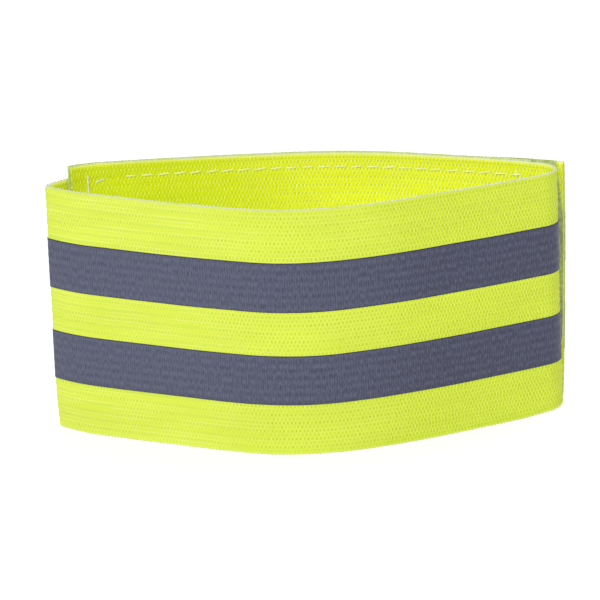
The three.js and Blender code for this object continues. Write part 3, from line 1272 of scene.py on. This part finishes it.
@dataclass(frozen=True)
class LoopPatch:
    """Soft loops on the outer face of the inner end."""

    plan: StripPlan
    threads: ThreadTree
    finishes: Finishes
    backing: float = 0.7 * MM
    row: float = 2.4 * MM

    def make(self) -> bpy.types.Object:
        """Builds the patch and its pile.

        Returns:
            The patch's object.
        """
        plan, sizes = self.plan, self.plan.sizes
        back = sizes.loop_patch_back
        heights = np.linspace(0, sizes.height, 60)
        places = plan.stations(0, sizes.loop_patch_length, 2.5 * MM, 3)

        def outer(at: np.ndarray, up: np.ndarray) -> np.ndarray:
            """The backing's face, a little uneven."""
            wave = np.sin(at / (1.7 * MM)) * np.sin(up / (1.3 * MM))
            return back + self.backing + 0.05 * MM * wave

        def inner(at: np.ndarray, up: np.ndarray) -> np.ndarray:
            """The backing's back."""
            return np.full_like(up, back)

        piece = LaidPiece("loop_backing", places, heights, outer, inner, Slot.PILE)
        patch = piece.make(plan, self.finishes.pile)
        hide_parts("loop_patch")
        pile = [self.pile(), self.edge_pile()]
        return patch

    def pile(self) -> bpy.types.Object:
        """The loops all over the patch, closer along its edges where they show."""
        plan, sizes = self.plan, self.plan.sizes
        face = sizes.loop_patch_back + self.backing
        length = sizes.loop_patch_length
        places = plan.stations(0.3 * MM, length - 0.3 * MM, 3 * MM, 4)
        rows = ThreadRows()
        for up in np.arange(self.row, sizes.height - self.row / 2, self.row):
            rows.add_on_strip(plan, places, face - 0.05 * MM, up, Side.OUTER)
        thread = Thread(
            start=(-0.3 * MM, -0.1 * MM, 0),
            middle=(0, 0.1 * MM, 0.7 * MM),
            end=(0.3 * MM, 0, 0),
            radius=0.08 * MM,
            pitch=1.5 * MM,
            sides=3,
            steps=4,
            turn_spread=(0.5, 0.5, 3.1),
            size_spread=0.3,
            stray=(0.3 * MM, 0.1 * MM, 0.2 * MM),
            seed=4,
        )
        return self.threads.sew("loop_pile", rows, thread, self.finishes.pile, Slot.PILE)

    def edge_pile(self) -> bpy.types.Object:
        """The short fibres along the patch's cut edges, which soften its outline."""
        plan, sizes = self.plan, self.plan.sizes
        back = sizes.loop_patch_back
        places = plan.stations(0.1 * MM, sizes.loop_patch_length - 0.1 * MM, 3 * MM, 4)
        across = np.linspace(0.2 * MM, sizes.height - 0.2 * MM, 30)
        upward = np.tile([0.0, 0.0, 1.0], (len(places), 1))
        rows = ThreadRows()
        for level in (0.1, 0.35, 0.6, 0.85):
            out = back + level * MM
            rows.add(plan.place(places, out, sizes.height - 0.05 * MM), upward)
            rows.add(plan.place(places, out, 0.05 * MM), -upward)
            rows.add(plan.place(0.05 * MM, out, across), -plan.ahead(np.zeros_like(across)))
        thread = Thread(
            start=(-0.12 * MM, -0.05 * MM, -0.05 * MM),
            middle=(0, 0.05 * MM, 0.16 * MM),
            end=(0.12 * MM, 0, -0.05 * MM),
            radius=0.06 * MM,
            pitch=0.55 * MM,
            sides=3,
            steps=3,
            turn_spread=(0.4, 0.4, 3.1),
            size_spread=0.3,
            stray=(0.15 * MM, 0.1 * MM, 0.02 * MM),
            seed=14,
        )
        return self.threads.sew("pile_edges", rows, thread, self.finishes.pile, Slot.PILE)


@dataclass(frozen=True)
class HookPatch:
    """Stiff hooks on the inner face of the outer end, both corners cut off at its tip."""

    plan: StripPlan
    threads: ThreadTree
    finishes: Finishes
    backing: float = 0.32 * MM
    row: float = 1.3 * MM
    top_cut_along: float = 2.2 * MM
    top_cut_up: float = 16.7 * MM
    bottom_cut_along: float = 12 * MM
    bottom_cut_up: float = 18.7 * MM

    def trim(self, up: np.ndarray) -> np.ndarray:
        """How far short of the strip's end the patch is cut at each height."""
        sizes = self.plan.sizes
        bottom, top = sizes.patch_inset, sizes.hook_patch_top
        low = self.bottom_cut_along * np.clip(1 - (up - bottom) / self.bottom_cut_up, 0, 1)
        high = self.top_cut_along * np.clip(1 - (top - up) / self.top_cut_up, 0, 1)
        return sizes.tab_trim(up) + low + high

    def make(self) -> bpy.types.Object:
        """Builds the patch and its hooks.

        Returns:
            The patch's object.
        """
        plan, sizes = self.plan, self.plan.sizes
        back = sizes.hook_patch_back
        start = plan.length - sizes.hook_patch_length
        places = plan.stations(start, plan.length, 1.5 * MM, 3)
        heights = np.linspace(sizes.patch_inset, sizes.hook_patch_top, 60)

        def outer(at: np.ndarray, up: np.ndarray) -> np.ndarray:
            """The tape's back, against the webbing."""
            return np.full_like(up, back)

        def inner(at: np.ndarray, up: np.ndarray) -> np.ndarray:
            """The tape's face, finely ribbed between the rows of hooks."""
            return back - self.backing - 0.04 * MM * np.cos(2 * math.pi * up / self.row)

        piece = LaidPiece("hook_tape", places, heights, outer, inner, Slot.HOOKS, self.trim)
        patch = piece.make(plan, self.finishes.hooks)
        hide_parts("hook_patch")
        hooks = self.hooks(start)
        return patch

    def hooks(self, start: float) -> bpy.types.Object:
        """The rows of hooks.

        Args:
            start: Where the patch starts along the strip.

        Returns:
            The object.
        """
        plan, sizes = self.plan, self.plan.sizes
        face = sizes.hook_patch_back - self.backing
        rows = ThreadRows()
        for up in np.arange(sizes.patch_inset + self.row / 2, sizes.hook_patch_top, self.row):
            end = plan.length - float(self.trim(np.array(up))) - 0.3 * MM
            places = np.linspace(start + 0.3 * MM, end, 40)
            rows.add_on_strip(plan, places, face + 0.03 * MM, up, Side.INNER)
        thread = Thread(
            start=(0, 0, 0),
            middle=(0.05 * MM, 0, 0.62 * MM),
            end=(0.34 * MM, 0, 0.16 * MM),
            radius=0.09 * MM,
            pitch=1.25 * MM,
            sides=4,
            steps=4,
            turn_spread=(0.12, 0.12, 0.5),
            size_spread=0.08,
            seed=6,
        )
        return self.threads.sew("hooks", rows, thread, self.finishes.hooks, Slot.HOOKS)


@dataclass(frozen=True)
class Seams:
    """The stitches that hold the two patches on."""

    plan: StripPlan
    threads: ThreadTree
    finishes: Finishes
    inset: float = 4 * MM
    loop_seam_inset: float = 4.3 * MM
    stitch: float = 3.4 * MM
    pitch: float = 4.8 * MM
    end_along: tuple[float, float] = (5.0 * MM, 5.4 * MM)
    end_up: tuple[float, float] = (4 * MM, 71.1 * MM)
    corner_along: tuple[float, float] = (8.6 * MM, 10.3 * MM)
    corner_up: tuple[float, float] = (69.6 * MM, 70.15 * MM)

    def path(self, at: Sequence[float], up: Sequence[float]) -> tuple[np.ndarray, np.ndarray]:
        """A seam's line between corners, close enough for the strip's bends.

        Args:
            at: The corners' places along the strip.
            up: Their heights.

        Returns:
            The places and the heights along the line.
        """
        corners = np.array([at, up], float).T
        lengths = np.linalg.norm(np.diff(corners, axis=0), axis=1)
        along = np.concatenate([[0], np.cumsum(lengths)])
        fine = np.arange(0, along[-1], 1 * MM)
        return np.interp(fine, along, corners[:, 0]), np.interp(fine, along, corners[:, 1])

    def thread(self, seed: int) -> Thread:
        """The shape of one stitch."""
        half = self.stitch / 2
        return Thread(
            start=(-half, -0.16 * MM, -0.2 * MM),
            middle=(0, 0, 0.5 * MM),
            end=(half, 0.16 * MM, -0.2 * MM),
            radius=0.26 * MM,
            pitch=self.pitch,
            sides=6,
            steps=6,
            turn_spread=(0, 0, 0.08),
            size_spread=0.06,
            seed=seed,
        )

    def end_stitches(self, face: float) -> bpy.types.Object:
        """The long pale stitches down the inner end and across its corner.

        Args:
            face: How far out they lie.

        Returns:
            The object.
        """
        rows = ThreadRows()
        for corners in ((self.end_along, self.end_up), (self.corner_along, self.corner_up)):
            at, up = self.path(*corners)
            rows.add_on_strip(self.plan, at, face, up, Side.INNER)
        half = 0.8 * MM
        thread = Thread(
            start=(-half, 0, 0),
            middle=(0, 0, 0.25 * MM),
            end=(half, 0, 0),
            radius=0.2 * MM,
            pitch=1.5 * MM,
            sides=6,
            steps=4,
            turn_spread=(0, 0, 0.03),
            seed=17,
        )
        return self.threads.sew("inner_end_stitches", rows, thread, self.finishes.pale_thread, Slot.ELASTIC)

    def make(self) -> list[bpy.types.Object]:
        """Sews both patches on."""
        plan, sizes = self.plan, self.plan.sizes
        low, high = self.loop_seam_inset, sizes.height - self.loop_seam_inset
        first, last = 18.8 * MM, sizes.loop_patch_length - self.inset
        inner_face = -sizes.half - 0.02 * MM
        loop_seam = ThreadRows()
        for corners in (((first, last), (high, high)), ((first, last), (low, low)),
                        ((last, last), (low, high))):
            at, up = self.path(*corners)
            loop_seam.add_on_strip(plan, at, inner_face, up, Side.INNER)
        low, high = self.inset, sizes.height - self.inset
        start = plan.length - sizes.hook_patch_length + self.inset
        end = plan.length - self.inset
        hook_seam = ThreadRows()
        for corners in (((start, end), (high, high)), ((start, end - 8 * MM), (low, low)),
                        ((start, start), (low, high)), ((end, end), (low + 10 * MM, high)),
                        ((end - 8 * MM, end), (low, low + 10 * MM))):
            at, up = self.path(*corners)
            hook_seam.add_on_strip(plan, at, sizes.film_face + 0.02 * MM, up, Side.OUTER)
            hook_face = sizes.hook_patch_back - sizes.hook_patch_thickness + 0.3 * MM
            hook_seam.add_on_strip(plan, at, hook_face, up, Side.INNER)
        return [
            self.end_stitches(inner_face),
            self.threads.sew("loop_patch_stitches", loop_seam, self.thread(2), self.finishes.thread,
                             Slot.ELASTIC),
            self.threads.sew("hook_patch_stitches", hook_seam, self.thread(7), self.finishes.thread,
                             Slot.ELASTIC),
        ]


@dataclass(frozen=True)
class Studio:
    """The camera, the lights and the pale floor."""

    camera_at: Colour = (0.08851, -1.23262, 0.4254)
    target: Colour = (-0.00264, 0.00487, 0.03697)
    roll: float = 2.442
    lens: float = 260.8
    sensor: float = 36.0

    def camera(self) -> None:
        """Puts the camera where the photograph's one stood."""
        data = bpy.data.cameras.new("camera")
        data.lens = self.lens
        data.sensor_width = self.sensor
        data.clip_start = 0.05
        data.clip_end = 20
        made = bpy.data.objects.new("camera", data)
        bpy.context.scene.collection.objects.link(made)
        ahead = (Vector(self.target) - Vector(self.camera_at)).normalized()
        level = ahead.cross(Vector((0, 0, 1))).normalized()
        upright = level.cross(ahead)
        turn = math.radians(self.roll)
        right = math.cos(turn) * level - math.sin(turn) * upright
        up = math.sin(turn) * level + math.cos(turn) * upright
        axes = Matrix((right, up, -ahead)).transposed()
        made.matrix_world = Matrix.Translation(self.camera_at) @ axes.to_4x4()
        bpy.context.scene.camera = made

    def floor(self) -> None:
        """Lays a plain pale floor under the armband."""
        half = 3.0
        mesh = bpy.data.meshes.new("floor")
        corners = [(-half, -half, 0), (half, -half, 0), (half, half, 0), (-half, half, 0)]
        mesh.from_pydata(corners, [], [(0, 1, 2, 3)])
        made = bpy.data.objects.new("floor", mesh)
        bpy.context.scene.collection.objects.link(made)
        material = bpy.data.materials.new("pale_floor")
        material.use_nodes = True
        material.node_tree.nodes.clear()
        graph = Graph(material.node_tree)
        here = graph.node("ShaderNodeTexCoord").outputs["Object"]
        tone = graph.ramp(graph.noise(here, 3), 0, 1, 0.60, 0.62)
        grey = graph.node("ShaderNodeCombineXYZ", X=tone, Y=tone, Z=tone).outputs[0]
        shader = graph.node("ShaderNodeBsdfPrincipled", Base_Color=grey, Roughness=0.9,
                            Specular_IOR_Level=0.1, Emission_Color=(1, 1, 1, 1), Emission_Strength=0.62)
        graph.node("ShaderNodeOutputMaterial", Surface=shader.outputs[0])
        mesh.materials.append(material)

    def light(self, name: str, place: Colour, size: float, power: float) -> None:
        """Hangs one soft square light, aimed at the armband.

        Args:
            name: The light's name.
            place: Where it hangs.
            size: The length of its side.
            power: Its power in watts.
        """
        data = bpy.data.lights.new(name, "AREA")
        data.shape = "SQUARE"
        data.size = size
        data.energy = power
        made = bpy.data.objects.new(name, data)
        bpy.context.scene.collection.objects.link(made)
        made.location = place
        made.rotation_euler = (Vector((0, 0, 0.04)) - Vector(place)).to_track_quat("-Z", "Y").to_euler()

    def make(self) -> None:
        """Sets up the studio."""
        self.camera()
        self.floor()
        self.light("key", (-1.3, -1.6, 1.0), 1.1, 15.5)
        self.light("front", (0.3, -1.7, 1.7), 1.2, 19)
        self.light("behind", (0.2, 0.9, 1.6), 1.2, 16)
        world = bpy.data.worlds.new("studio")
        world.use_nodes = True
        background = world.node_tree.nodes["Background"]
        background.inputs["Color"].default_value = (1, 1, 1, 1)
        background.inputs["Strength"].default_value = 0.31
        bpy.context.scene.world = world
        bpy.context.scene.view_settings.view_transform = "Standard"


def main() -> None:
    """Builds the studio and the armband."""
    logging.basicConfig(level=logging.INFO, format="%(message)s")
    Studio().make()
    plan = StripPlan(SIZES)
    LOG.info("strip %.1f mm, inner layer %.1f mm", plan.length / MM, plan.inner_length / MM)
    finishes = Finishes.make()
    threads = ThreadTree()
    pieces = [
        Webbing(plan, threads, finishes).make(),
        *Stripes(plan, finishes).make(),
        LoopPatch(plan, threads, finishes).make(),
        HookPatch(plan, threads, finishes).make(),
        *Seams(plan, threads, finishes).make(),
    ]
    for piece in pieces:
        LOG.info("%s has %d faces", piece.name, len(piece.data.polygons))


if __name__ == "__main__":
    main()
